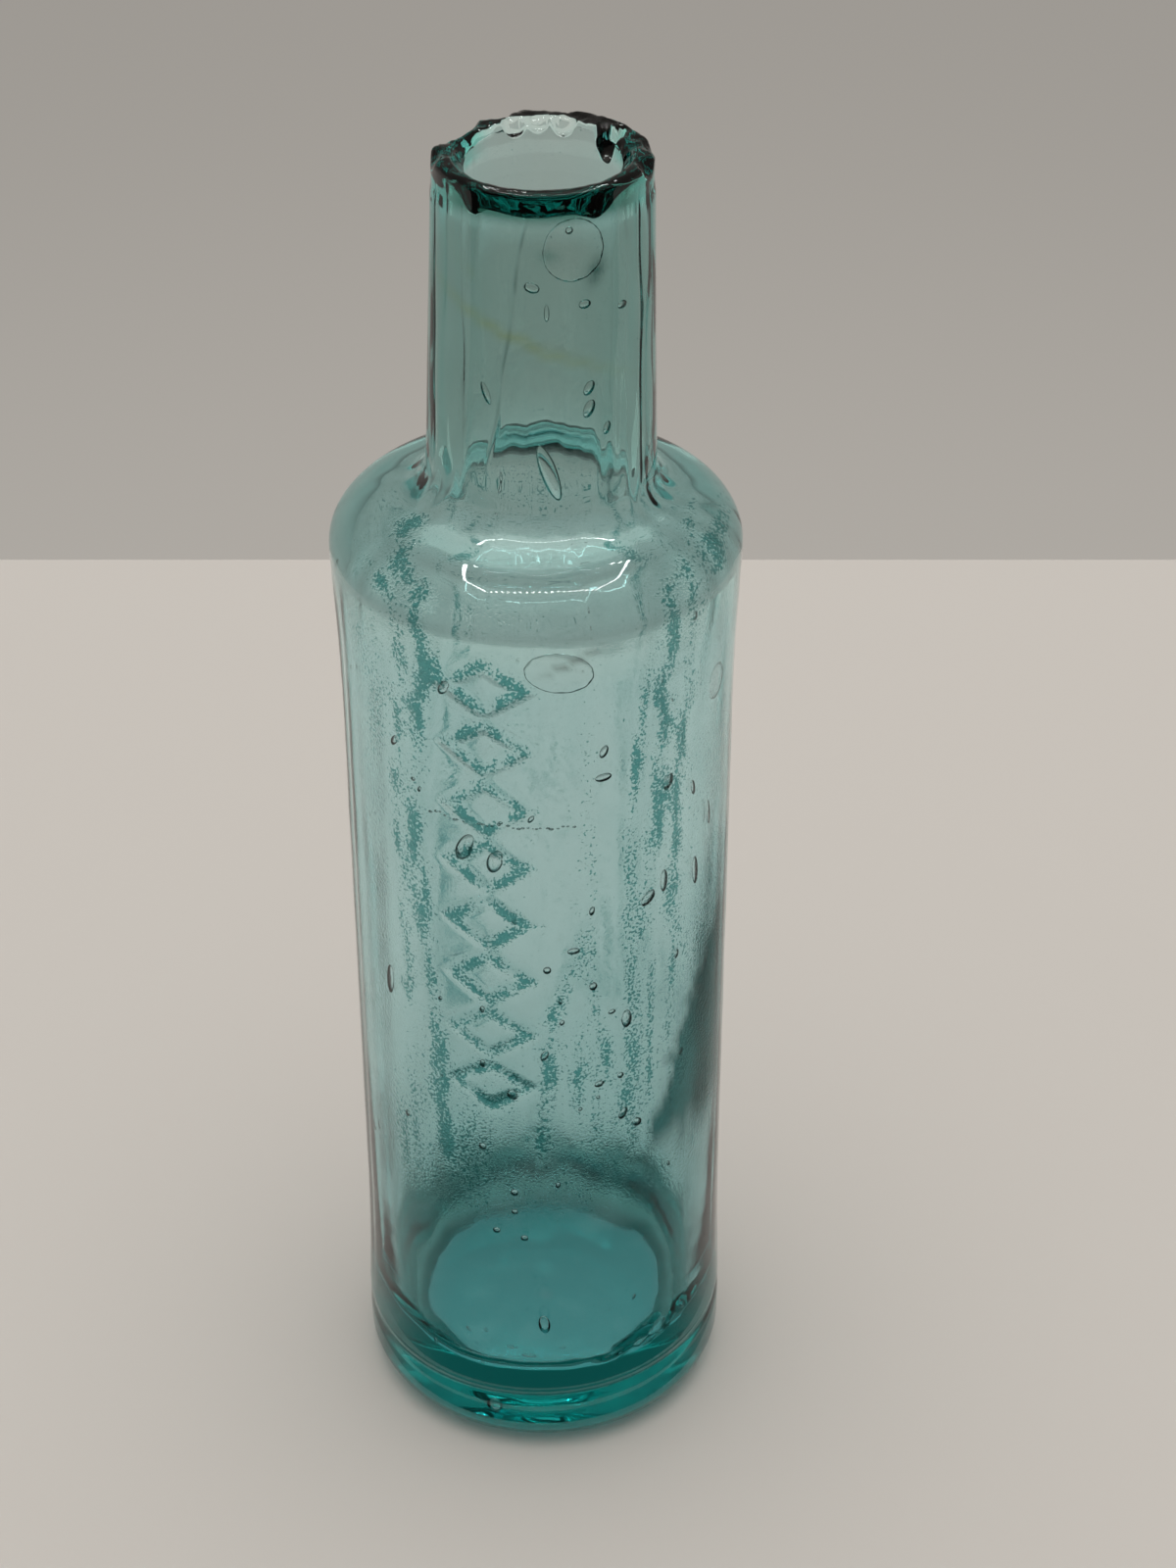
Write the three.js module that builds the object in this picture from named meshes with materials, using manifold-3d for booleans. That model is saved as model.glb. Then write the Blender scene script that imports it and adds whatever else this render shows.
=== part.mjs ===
// Poison bottle in aqua glass: a round body blown in a mould, a sloped shoulder, a long neck and a burst-off lip.
// Millimetres, +Z up. The origin is the centre of the foot, on the surface that the bottle stands on, and the
// bottle's front faces -Y. The real bottle is one piece of glass. It is divided here at four level planes into
// the zones that a bottle has names for, which meet face to face.
import * as THREE from "three";
import { mergeVertices } from "three/addons/utils/BufferGeometryUtils.js";
import Module from "manifold-3d";

// Overall size
const HEIGHT = 140; // foot to the highest point of the lip
const BODY_DIAMETER = 38; // at the waist of the body
const BODY_WALL = 2; // at the waist of the body

// Base
const BASE_THICKNESS = 8.8; // foot to the floor inside
const HEEL_RADIUS = 4; // rounding between the foot and the body
const HEEL_FLARE = 0.4; // how far the heel stands out past the waist
const FOOT_RING_WIDTH = 1.5; // flat ring that the bottle stands on
const PUSH_UP = 0.4; // depth of the hollow under the base
const FLOOR_CORNER_RADIUS = 3; // rounding between the floor and the wall inside

// Body and shoulder
const FLARE_LENGTH = 22; // stretch of body that draws in from the heel to the waist
const BULGE_LENGTH = 24; // stretch of body that swells from the waist to the shoulder
const SHOULDER_HEIGHT = 100.8; // foot to the start of the shoulder's rounding
const SHOULDER_BULGE = 0.5; // how far the shoulder stands out past the waist
const SHOULDER_RADIUS = 5.8; // rounding of the shoulder's outer edge
const SHOULDER_SLOPE = 13.7; // rise of the shoulder towards the neck, in degrees

// Neck
const NECK_ROOT_DIAMETER = 21.6;
const NECK_TOP_DIAMETER = 20;
const NECK_FILLET = 3; // outer rounding where the neck meets the shoulder
const BORE_ROOT_DIAMETER = 13.8;
const BORE_TOP_DIAMETER = 13.6;
const BORE_FILLET = 7; // rounding of the glass round the lower end of the bore
const NECK_OFFSET = 0.6; // the neck's root stands this far to +X of the body's axis
const NECK_LEAN = 0.4; // the lip stands this much further to +X than the root

// Lip
const LIP_HEIGHT = 4;
const LIP_DIAMETER = 19.6;
const LIP_ROUNDING = 0.7; // softened outer edge
const MOUTH_DIAMETER = 14; // the bore widens to this at the broken edge
const MOUTH_FLARE_DEPTH = 3; // height over which the bore widens
const LIP_DIP = 0.3; // how far the broken edge dips below its highest point
const LIP_HIGH_POINT = 84; // place of the highest point round the rim, in degrees from +X

// Slope that the break leaves round the mouth, wider at one side than at the other
const BREAK_WIDTH = 1; // mean width, from the mouth out to the ridge
const BREAK_OFFSET = 0.85; // how much wider it is at its widest place
const BREAK_SLOPE = 48; // fall towards the mouth, in degrees
const BREAK_PLACE = 266; // widest place round the rim, in degrees from +X

// Flakes broken out of the lip: place round the rim in degrees from +X, edge that each one starts at,
// its width along the rim, its reach into the rim and its depth
const CHIPS = [
  { angle: 8, edge: "outer", width: 3.6, reach: 1.2, depth: 0.9 },
  { angle: 38, edge: "inner", width: 3.0, reach: 1.9, depth: 3.0 },
  { angle: 76, edge: "inner", width: 2.4, reach: 0.9, depth: 1.5 },
  { angle: 86, edge: "outer", width: 5.0, reach: 0.9, depth: 0.6 },
  { angle: 94, edge: "inner", width: 2.2, reach: 0.8, depth: 1.3 },
  { angle: 111, edge: "inner", width: 2.4, reach: 0.9, depth: 1.6 },
  { angle: 118, edge: "outer", width: 4.0, reach: 1.3, depth: 0.8 },
  { angle: 150, edge: "outer", width: 8.0, reach: 1.9, depth: 1.5 },
  { angle: 186, edge: "outer", width: 3.4, reach: 1.0, depth: 1.0 },
  { angle: 220, edge: "inner", width: 4.4, reach: 1.9, depth: 3.2 },
  { angle: 308, edge: "inner", width: 5.4, reach: 1.9, depth: 3.2 },
  { angle: 342, edge: "outer", width: 3.2, reach: 1.1, depth: 1.2 },
];

// Fineness of the faceted solids
const TURN_STEPS = 60; // facets round the bottle
const ARC_STEPS = 3; // half the facets along a rounding
const NECK_STEPS = 4; // facets up the neck
const CHIP_STEPS = 14; // facets round a flake
const CUT_MARGIN = 1; // how far a cutting solid runs past the face that it cuts

// Glass
const GLASS = { color: 0x9cc0b8, roughness: 0.04, metalness: 0, transparent: true, opacity: 0.55 };

// Radii and heights that follow from the sizes above
const waistRadius = BODY_DIAMETER / 2;
const cavityRadius = waistRadius - BODY_WALL;
const heelRadius = waistRadius + HEEL_FLARE;
const footRadius = heelRadius - HEEL_RADIUS;
const hollowRadius = footRadius - FOOT_RING_WIDTH;
const shoulderRadius = waistRadius + SHOULDER_BULGE;
const shoulderWall = shoulderRadius - cavityRadius;
const slope = THREE.MathUtils.degToRad(SHOULDER_SLOPE);
const neckRootRadius = NECK_ROOT_DIAMETER / 2;
const neckTopRadius = NECK_TOP_DIAMETER / 2;
const boreRootRadius = BORE_ROOT_DIAMETER / 2;
const boreTopRadius = BORE_TOP_DIAMETER / 2;
const lipRadius = LIP_DIAMETER / 2;
const mouthRadius = MOUTH_DIAMETER / 2;
const lipStart = HEIGHT - LIP_HEIGHT;

const wasm = await Module();
wasm.setup();

// The shoulder's outer and inner lines are parallel. Each is an arc that leaves the wall upright, a straight rise
// at the slope, and a fillet that ends upright on the neck or on the bore. The arcs share one centre.
function shoulderLine(arcRadius, endRadius, fillet) {
  const centre = new THREE.Vector2(shoulderRadius - SHOULDER_RADIUS, SHOULDER_HEIGHT);
  const normal = new THREE.Vector2(Math.sin(slope), Math.cos(slope));
  const arcEnd = centre.clone().addScaledVector(normal, arcRadius);
  const tangentRadius = endRadius + fillet * (1 - normal.x);
  const tangentHeight = arcEnd.y + (arcEnd.x - tangentRadius) * Math.tan(slope);
  const filletCentre = new THREE.Vector2(tangentRadius, tangentHeight).addScaledVector(normal, fillet);
  return { centre, arcRadius, endRadius, fillet, filletCentre };
}

const outerShoulder = shoulderLine(SHOULDER_RADIUS, neckRootRadius, NECK_FILLET);
const innerShoulder = shoulderLine(SHOULDER_RADIUS - shoulderWall, boreRootRadius, BORE_FILLET);
const neckStart = Math.max(outerShoulder.filletCentre.y, innerShoulder.filletCentre.y);

// Points along a shoulder line, from the wall up to the plane where the neck starts
function shoulderPoints({ centre, arcRadius, endRadius, fillet, filletCentre }) {
  const path = new THREE.Path();
  path.absarc(centre.x, centre.y, arcRadius, 0, Math.PI / 2 - slope, false);
  path.absarc(filletCentre.x, filletCentre.y, fillet, -Math.PI / 2 - slope, -Math.PI, true);
  path.lineTo(endRadius, neckStart);
  return path.getPoints(ARC_STEPS);
}

// Sideways place of the glass at a height: the neck stands a little off the body's axis and leans
function crook(z) {
  const offset = NECK_OFFSET * THREE.MathUtils.smoothstep(z, SHOULDER_HEIGHT, neckStart);
  const lean = NECK_LEAN * Math.max(0, (z - neckStart) / (HEIGHT - neckStart));
  return offset + lean;
}

// Turns a profile of (radius, height) points about the axis. It lists the outer side from the foot up, and it
// starts and ends on the axis or closes on itself.
function revolve(points) {
  const geometry = new THREE.LatheGeometry(points, TURN_STEPS);
  geometry.rotateX(Math.PI / 2);
  geometry.deleteAttribute("normal");
  geometry.deleteAttribute("uv");
  return mergeVertices(geometry);
}

// Turns the outer and inner lines of a hollow zone, both listed from the bottom up
function revolveWall(outer, inner) {
  const points = [...outer, ...[...inner].reverse()];
  return revolve([...points, points[0]]);
}

// Moves every point of a geometry by a function of its place
function reshape(geometry, move) {
  const place = geometry.attributes.position;
  const point = new THREE.Vector3();
  for (let i = 0; i < place.count; i += 1) {
    move(point.fromBufferAttribute(place, i));
    place.setXYZ(i, point.x, point.y, point.z);
  }
  return geometry;
}

function bend(geometry) {
  return reshape(geometry, (point) => {
    point.x += crook(point.z);
  });
}

function zone(name, geometry) {
  const mesh = new THREE.Mesh(geometry, new THREE.MeshStandardMaterial(GLASS));
  mesh.name = name;
  geometry.computeVertexNormals();
  return mesh;
}

// Base: a thick slug of glass with a rounded heel, a flat ring to stand on and a hollow pushed up under it
function base() {
  const path = new THREE.Path();
  path.moveTo(0, PUSH_UP);
  path.quadraticCurveTo(hollowRadius / 2, PUSH_UP, hollowRadius, 0);
  path.lineTo(footRadius, 0);
  path.absarc(footRadius, HEEL_RADIUS, HEEL_RADIUS, -Math.PI / 2, 0, false);
  path.lineTo(heelRadius, BASE_THICKNESS);
  path.lineTo(0, BASE_THICKNESS);
  return zone("base", revolve(path.getPoints(2 * ARC_STEPS)));
}

// Body: a wall that draws in from the heel to the waist and swells again to the shoulder
function body() {
  const flareEnd = BASE_THICKNESS + FLARE_LENGTH;
  const bulgeStart = SHOULDER_HEIGHT - BULGE_LENGTH;
  const outer = new THREE.Path();
  outer.moveTo(heelRadius, BASE_THICKNESS);
  outer.quadraticCurveTo(waistRadius, BASE_THICKNESS + FLARE_LENGTH / 2, waistRadius, flareEnd);
  outer.lineTo(waistRadius, bulgeStart);
  outer.quadraticCurveTo(waistRadius, bulgeStart + BULGE_LENGTH / 2, shoulderRadius, SHOULDER_HEIGHT);
  const inner = new THREE.Path();
  const cornerRadius = cavityRadius - FLOOR_CORNER_RADIUS;
  const cornerHeight = BASE_THICKNESS + FLOOR_CORNER_RADIUS;
  inner.absarc(cornerRadius, cornerHeight, FLOOR_CORNER_RADIUS, -Math.PI / 2, 0, false);
  inner.lineTo(cavityRadius, SHOULDER_HEIGHT);
  return zone("body", revolveWall(outer.getPoints(2 * ARC_STEPS), inner.getPoints(ARC_STEPS)));
}

// Shoulder: rounds over from the body and rises to the root of the neck, over a funnel that leads to the bore
function shoulder() {
  return zone("shoulder", bend(revolveWall(shoulderPoints(outerShoulder), shoulderPoints(innerShoulder))));
}

// Neck: a thick tube that tapers while its bore widens
function neck() {
  const line = (low, high) => new THREE.LineCurve(
    new THREE.Vector2(low, neckStart),
    new THREE.Vector2(high, lipStart),
  ).getPoints(NECK_STEPS);
  const wall = revolveWall(line(neckRootRadius, neckTopRadius), line(boreRootRadius, boreTopRadius));
  return zone("neck", bend(wall));
}

// Flake of glass missing from the rim, as a squashed ball at the edge that it broke from
function flake({ angle, edge, width, reach, depth }) {
  const rimRadius = edge === "inner" ? mouthRadius : lipRadius;
  const ball = new THREE.SphereGeometry(1, CHIP_STEPS, CHIP_STEPS / 2);
  ball.scale(reach, width / 2, depth);
  ball.translate(rimRadius, 0, HEIGHT);
  ball.rotateZ(THREE.MathUtils.degToRad(angle));
  return ball;
}

// Glass missing where the break slopes in to the mouth, as a cone that stands off the lip's axis
function breakCone() {
  const spread = 1 / Math.tan(THREE.MathUtils.degToRad(BREAK_SLOPE));
  const ridgeRadius = mouthRadius + BREAK_WIDTH;
  const depth = (BREAK_WIDTH + BREAK_OFFSET) / spread + CUT_MARGIN;
  const topRadius = ridgeRadius + CUT_MARGIN * spread;
  const cone = new THREE.CylinderGeometry(topRadius, ridgeRadius - depth * spread, depth + CUT_MARGIN, TURN_STEPS);
  cone.rotateX(Math.PI / 2);
  cone.translate(BREAK_OFFSET, 0, HEIGHT + (CUT_MARGIN - depth) / 2);
  cone.rotateZ(THREE.MathUtils.degToRad(BREAK_PLACE));
  return cone;
}

function solidFrom(geometry) {
  geometry.deleteAttribute("normal");
  geometry.deleteAttribute("uv");
  const merged = mergeVertices(geometry);
  return new wasm.Manifold(new wasm.Mesh({
    numProp: 3,
    vertProperties: merged.attributes.position.array,
    triVerts: new Uint32Array(merged.index.array),
  }));
}

function geometryFrom(solid) {
  const mesh = solid.getMesh();
  const geometry = new THREE.BufferGeometry();
  geometry.setAttribute("position", new THREE.BufferAttribute(mesh.vertProperties, 3));
  geometry.setIndex(new THREE.BufferAttribute(mesh.triVerts, 1));
  return geometry;
}

// Lip: burst off the blowpipe, so its edge dips, slopes in to the mouth and has flakes missing
function lip() {
  const outer = new THREE.Path();
  outer.moveTo(lipRadius, lipStart);
  outer.lineTo(lipRadius, HEIGHT - LIP_ROUNDING);
  outer.absarc(lipRadius - LIP_ROUNDING, HEIGHT - LIP_ROUNDING, LIP_ROUNDING, 0, Math.PI / 2, false);
  const inner = new THREE.Path();
  inner.moveTo(boreTopRadius, lipStart);
  inner.lineTo(boreTopRadius, HEIGHT - MOUTH_FLARE_DEPTH);
  inner.quadraticCurveTo(boreTopRadius, HEIGHT - MOUTH_FLARE_DEPTH / 2, mouthRadius, HEIGHT);
  const highPoint = THREE.MathUtils.degToRad(LIP_HIGH_POINT);
  const rim = reshape(revolveWall(outer.getPoints(ARC_STEPS), inner.getPoints(ARC_STEPS)), (point) => {
    const turn = Math.atan2(point.y, point.x) - highPoint;
    const dip = (2 - Math.cos(turn) - Math.cos(3 * turn)) / 4;
    point.z -= LIP_DIP * dip * (point.z - lipStart) / LIP_HEIGHT;
  });
  const missing = [breakCone(), ...CHIPS.map(flake)];
  const broken = missing.reduce((solid, piece) => solid.subtract(solidFrom(piece)), solidFrom(rim));
  return zone("lip", bend(geometryFrom(broken)));
}

const bottle = new THREE.Group();
bottle.add(base(), body(), shoulder(), neck(), lip());

export default bottle;
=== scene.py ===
import math
import random

import bmesh
import bpy
from mathutils import Matrix, Vector, noise


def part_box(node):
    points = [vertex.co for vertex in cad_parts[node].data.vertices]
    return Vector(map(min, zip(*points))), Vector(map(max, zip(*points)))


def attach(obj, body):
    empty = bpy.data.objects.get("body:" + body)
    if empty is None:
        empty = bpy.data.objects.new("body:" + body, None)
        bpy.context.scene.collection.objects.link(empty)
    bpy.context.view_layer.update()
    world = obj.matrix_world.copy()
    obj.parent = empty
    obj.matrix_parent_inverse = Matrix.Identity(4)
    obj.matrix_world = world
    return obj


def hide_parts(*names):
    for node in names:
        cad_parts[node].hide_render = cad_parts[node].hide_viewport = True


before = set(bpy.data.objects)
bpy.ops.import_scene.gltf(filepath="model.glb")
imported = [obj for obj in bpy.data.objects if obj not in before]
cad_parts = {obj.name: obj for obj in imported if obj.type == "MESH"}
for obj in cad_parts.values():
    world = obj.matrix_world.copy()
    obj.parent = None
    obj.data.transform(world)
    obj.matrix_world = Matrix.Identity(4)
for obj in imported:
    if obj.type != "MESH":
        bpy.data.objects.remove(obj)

bl_info = {
    "name": "Aqua poison bottle",
    "version": (1, 0, 0),
    "blender": (4, 5, 0),
    "location": "View3D > Sidebar > Bottle",
    "description": "Builds a mould-blown glass bottle with a burst-off lip, and a stage to see it on",
    "category": "Add Mesh",
}

MM = 0.001
FULL_TURN = 2 * math.pi

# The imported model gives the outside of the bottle, zone by zone
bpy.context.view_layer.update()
BASE_HIGH = Vector(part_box("base")[1])
BODY_HIGH = Vector(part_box("body")[1])
NECK_LOW, NECK_HIGH = (Vector(corner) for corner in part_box("neck"))
LIP_LOW, LIP_HIGH = (Vector(corner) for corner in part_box("lip"))
NECK_RADIUS = (NECK_HIGH.x - NECK_LOW.x) / 2
LIP_RADIUS = (LIP_HIGH.x - LIP_LOW.x) / 2

# Longest edges of the turned outline: at the lip, at the heel's seam, up the outside of the body, round the
# neck and elsewhere, and steps round the axis
LIP_STEP = 0.3 * MM
SEAM_STEP = 0.3 * MM
BODY_STEP = 0.68 * MM
NECK_STEP = 0.85 * MM
INSIDE_STEP = 1.6 * MM
TURN_STEPS = 172

# Flakes broken out of the lip: angle from the front to the right, edge that each starts at, width along the
# rim, reach into the rim and depth, in degrees and millimetres
CHIPS = (
    (128, "inner", 3.0, 1.9, 3.0),
    (166, "inner", 2.4, 0.9, 1.5),
    (184, "inner", 2.2, 0.8, 1.3),
    (201, "inner", 2.4, 0.9, 1.6),
    (176, "outer", 5.0, 0.9, 0.6),
    (208, "outer", 4.0, 1.3, 0.8),
    (240, "outer", 8.0, 1.9, 1.5),
    (276, "outer", 3.4, 1.0, 1.0),
    (72, "outer", 3.2, 1.1, 1.2),
    (98, "outer", 3.6, 1.2, 0.9),
)

# Places where the break runs deeper down the inside of the lip: angle from the front to the right and half
# width in degrees, and how much steeper the slope is there
DEEP_BREAKS = (
    (-4, 45, 0.40),
    (-48, 9, 0.75),
    (38, 12, 0.70),
)

# Veins in the glass, raised a little and darkened by painted shade specks: half width in millimetres,
# strength, and places from the top down as the angle from the front to the right in degrees and the climb up
# the wall and over the shoulder in millimetres
VEINS = (
    (1.15, 1.0, ((-56, 111), (-58, 109), (-47, 106.5), (-35, 104.5), (-35, 102), (-30, 100), (-30, 97),
                 (-34, 93), (-37, 85), (-37, 77), (-35, 66), (-33, 58), (-30, 45), (-30, 36))),
    (0.90, 0.8, ((-66, 105.5), (-52, 104.8), (-42, 103), (-39, 99), (-41, 94), (-43, 84), (-42, 70),
                 (-41, 55))),
    (0.55, 0.9, ((86, 109.5), (66, 107.8), (51, 105.6), (40, 104), (40, 102), (34, 98), (31, 92), (28, 80),
                 (28, 66))),
    (1.15, 1.0, ((94, 107), (78, 106.3), (55, 104.8), (46, 102.5), (41, 100), (40, 97), (37, 94.5), (40, 90),
                 (38, 81), (33, 70), (29, 64))),
    (1.00, 0.9, ((88, 106), (69, 105), (54, 103), (48, 100), (47, 96), (48, 94), (44, 85), (43, 77),
                 (44, 60))),
    (0.85, 0.85, ((14, 70), (13, 65), (8, 62.5), (4, 58), (3, 51), (1, 44), (1, 38))),
    (0.90, 0.6, ((13, 59), (13, 52), (12, 45))),
    (0.80, 0.6, ((21, 56), (22, 46))),
    (1.10, 0.9, ((-140, 108), (-150, 104), (-152, 80), (-148, 50), (-150, 30))),
    (1.00, 0.8, ((140, 107), (148, 103), (150, 80), (146, 36))),
)

# Thin lines drawn up the neck: angle at the root and at the lip in degrees, lower and upper end, depth and
# half width in millimetres
DRAWN_LINES = (
    (58, 58, 108, 139, 0.09, 0.16),
    (-27, -7, 113, 138, 0.10, 0.14),
    (-64, -70, 112, 139, 0.05, 0.25),
)

# Bubbles: angle from the front to the right in degrees, then height, depth under the surface, half length,
# half width and half thickness in millimetres, and the lean of the length in degrees
BUBBLES = (
    (5, 113.0, 2.0, 2.9, 0.70, 0.50, -16),
    (3, 128.5, 1.5, 0.80, 0.22, 0.20, 0),
    (27, 121.0, 1.6, 0.75, 0.45, 0.35, 25),
    (27, 119.0, 1.6, 0.90, 0.50, 0.35, 20),
    (38, 116.7, 1.6, 0.65, 0.35, 0.30, 15),
    (15, 136.0, 1.2, 0.35, 0.35, 0.30, 0),
    (17, 134.3, 0.9, 2.90, 2.70, 0.03, 0),
    (-5, 130.9, 1.3, 0.50, 0.70, 0.25, 20),
    (24, 129.1, 1.3, 0.45, 0.55, 0.25, 0),
    (48, 128.1, 1.3, 0.40, 0.50, 0.25, 0),
    (-30, 120.5, 1.2, 1.10, 0.35, 0.25, -20),
    (20, 85.7, 0.9, 0.80, 0.45, 0.35, 85),
    (20, 88.6, 0.8, 0.70, 0.40, 0.35, 20),
    (42, 82.9, 0.9, 0.85, 0.55, 0.40, 20),
    (53, 80.5, 0.9, 0.90, 0.30, 0.30, -10),
    (62, 76.0, 0.9, 1.50, 0.32, 0.30, -6),
    (55, 70.5, 0.9, 1.70, 0.45, 0.35, -4),
    (41, 71.6, 0.9, 1.30, 0.45, 0.35, 0),
    (35, 70.4, 0.9, 0.95, 0.60, 0.40, 40),
    (-21, 77.9, 0.8, 1.60, 0.75, 0.45, 25),
    (-12, 76.7, 0.8, 1.35, 0.75, 0.45, 15),
    (-26, 95.2, 0.9, 0.90, 0.45, 0.35, 30),
    (-45, 87.1, 0.9, 0.70, 0.35, 0.30, 30),
    (11, 66.2, 0.9, 0.60, 0.38, 0.32, 85),
    (17, 61.6, 0.9, 0.50, 0.42, 0.35, 0),
    (23, 58.0, 0.9, 0.40, 0.30, 0.28, 80),
    (28, 56.6, 0.9, 1.10, 0.55, 0.40, 0),
    (19, 49.3, 0.9, 0.55, 0.40, 0.35, 70),
    (26, 49.7, 0.9, 0.40, 0.35, 0.30, 0),
    (27, 44.7, 0.9, 0.75, 0.45, 0.40, 20),
    (32, 42.9, 0.9, 0.60, 0.50, 0.40, -40),
    (2, 53.6, 0.9, 0.65, 0.35, 0.30, 20),
    (3, 64.1, 0.9, 0.45, 0.40, 0.35, 0),
    (-8, 48.6, 0.9, 0.55, 0.50, 0.40, 0),
    (-18, 41.3, 0.9, 0.50, 0.40, 0.35, 0),
    (-52, 57.8, 0.9, 1.80, 0.55, 0.40, 4),
    (-8, 35.7, 0.9, 0.45, 0.40, 0.35, 0),
    (-8, 33.1, 0.9, 0.35, 0.35, 0.30, 0),
    (-14, 30.3, 0.9, 0.40, 0.40, 0.30, 0),
    (-5, 29.6, 0.9, 0.40, 0.40, 0.30, 0),
    (1, 17.6, 0.9, 1.25, 0.60, 0.40, -6),
    (-16, 5.0, 1.6, 0.90, 0.85, 0.70, 0),
    (-38, 9.3, 6.5, 0.30, 0.45, 0.25, 0),
    (-30, 9.2, 7.5, 0.25, 0.30, 0.20, 0),
    (-14, 9.3, 6.0, 0.20, 0.60, 0.25, 0),
    (-6, 9.2, 5.2, 0.25, 0.75, 0.25, 0),
    (9, 9.3, 6.2, 0.20, 0.35, 0.20, 0),
    (7, 97.8, 0.8, 2.10, 3.20, 0.05, 12),
    (64, 90.6, 0.9, 1.90, 1.50, 0.06, 0),
)

# Row of pits across the front: first and last angle in degrees, height in millimetres and number
PIT_ROW = (-31, 12, 81.0, 30)

# Seams that the two halves of the mould leave up the body: angles from the front to the right in degrees
MOULD_SEAMS = (-85, -75, 84, 96)

# Stains in the glass: angle from the front to the right in degrees, height, half length and half width in
# millimetres, lean of the length in degrees, and the tint that light takes there
STAINS = (
    (-14, 126.5, 9.0, 0.55, 68, (1.0, 0.86, 0.50)),
    (11, 99.2, 2.8, 0.30, -66, (0.12, 0.08, 0.06)),
    (28, 132.3, 1.3, 0.80, -20, (0.0, 0.10, 0.09)),
    (4, 134.0, 0.6, 0.9, 0, (0.40, 0.60, 0.58)),
)

# Unevenness of the glass: amount in millimetres, then features to a radian and along a metre
WALL_WAVES = ((0.24, 1.5, 22), (0.10, 5, 40))
FOLD_WAVES = ((0.20, 6.5, 110),)
CORNER_WAVES = ((1.2, 16, 700),)
HEEL_WAVES = ((0.25, 4, 90),)
BORE_WAVES = ((0.12, 2.5, 45), (0.07, 6, 140))
ROOT_WAVES = ((0.14, 4, 120), (0.03, 12, 300))
SKIN_WAVES = ((0.035, 5, 160),)
NECK_WAVES = ((1, 7, 50),)

# Depths on the outside in millimetres: grain up the neck, raised veins, seams of the mould and of the heel
NECK_GRAIN = 0.06
VEIN_HEIGHT = 0.12
MOULD_SEAM_DEPTH = 0.14
HEEL_SEAM_DEPTH = 0.24

# Floor inside: height and spacing of its waves, and its rise where the wall is that far from the axis
FLOOR_WAVE = 0.30 * MM
FLOOR_WAVE_SPACING = 3.5 * MM
FLOOR_RISE = 1.1 * MM
FLOOR_RISE_RADIUS = 14 * MM

# Broken lip: highest place from the front to the right in degrees, and the ripples of the edge
LIP_HIGH_PLACE = 174
RIPPLE_DEPTH = 0.34 * MM
RIPPLE_SPACING = 1.6 * MM
FINE_RIPPLE_SPACING = 0.7 * MM

# Seeds strewn in the wall and pits: depth under the surface, and half sizes in millimetres
SEED_DEPTH = 0.85 * MM
SEED_SIZES = (0.1, 0.3)
PIT_DEPTH = 0.3 * MM
PIT_SIZES = (0.06, 0.16)

# Glass: index of refraction, and the grain of its pebbled bands, which bumps them and places painted dark
# specks of shade
GLASS_IOR = 1.52
GRAIN_SCALE = 3600
GRAIN_DETAIL = 3
GRAIN_BUMP = 0.1 * MM
SPECKLE_GAIN = 0.42
SPECKLE_EDGE = (0.70, 0.78)

# Surround: heights of a ray's direction where the room below, above and the ceiling begin and end, how much
# lighter the room is below, and how much of the ceiling mirror images lose
LOWER_EDGE = (-0.52, -0.30)
UPPER_EDGE = (0.0, 0.30)
CEILING_EDGE = (0.72, 0.95)
LOWER_GLOW = 0.085
MIRROR_LOSS = 0.7

# Small lights overhead: corners of the line that they stand on, height, spacing, half sizes and brightness
LIGHT_LINE = ((-0.030, 0.200), (-0.030, 0.160), (-0.080, 0.160), (-0.124, 0.0), (-0.105, -0.088),
              (0.126, -0.088), (0.142, 0.0), (0.100, 0.160), (0.052, 0.160), (0.052, 0.200))
LIGHT_HEIGHT = 0.406
LIGHT_SPACING = 12 * MM
LIGHT_SIZE = (3.4 * MM, 9 * MM, 1 * MM)
LIGHT_GLOW = 22

# Painted shade: tint low inside at the back of the floor, and dark specks where the pebbled bands are thick
PAINTED_FLOOR_SHADE_TINT = (0.10, 0.32, 0.31)
SPECKLE_SHADE_TINT = (0.05, 0.26, 0.255)

# Tints over the outside, each taken where light goes in and where it comes out; those marked are painted
# shade or light
NECK_TINT = (0.73, 0.68, 0.65)
BODY_TINT = (0.80, 0.89, 0.92)
LOW_TINT = (0.80, 0.90, 0.90)
# Painted shade: the dark patch low on the right
PATCH_SHADE_TINT = (0.02, 0.10, 0.098)
# Painted shade in the dark band at the front of the broken lip
LIP_SHADE_TINT = (0.06, 0.22, 0.17)
RIM_TINT = (0.35, 1.0, 0.90)
# Painted shade along the lines drawn up the neck
LINE_SHADE_TINT = (0.10, 0.18, 0.17)
# Painted shade along the seams of the mould
SEAM_SHADE_TINT = (0.20, 0.50, 0.49)
# Painted shade round the heel
HEEL_SHADE_TINT = (0.60, 0.48, 0.50)
# Tint of the pad's painted light seen through the foot, as if it had come down through the glass
PAINTED_UNDER_LIGHT_TINT = (0.52, 1.0, 0.98)


def length(name, description, default):
    """A size in metres, with its unit."""
    return bpy.props.FloatProperty(
        name=name, description=description, default=default, precision=5, subtype="DISTANCE", unit="LENGTH")


def degrees(name, description, default):
    """An angle, given here in degrees."""
    return bpy.props.FloatProperty(
        name=name, description=description, default=math.radians(default), subtype="ANGLE")


def colour(name, description, default):
    """A linear colour."""
    return bpy.props.FloatVectorProperty(
        name=name, description=description, default=default, size=3, min=0.0, max=1.0, subtype="COLOR")


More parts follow.
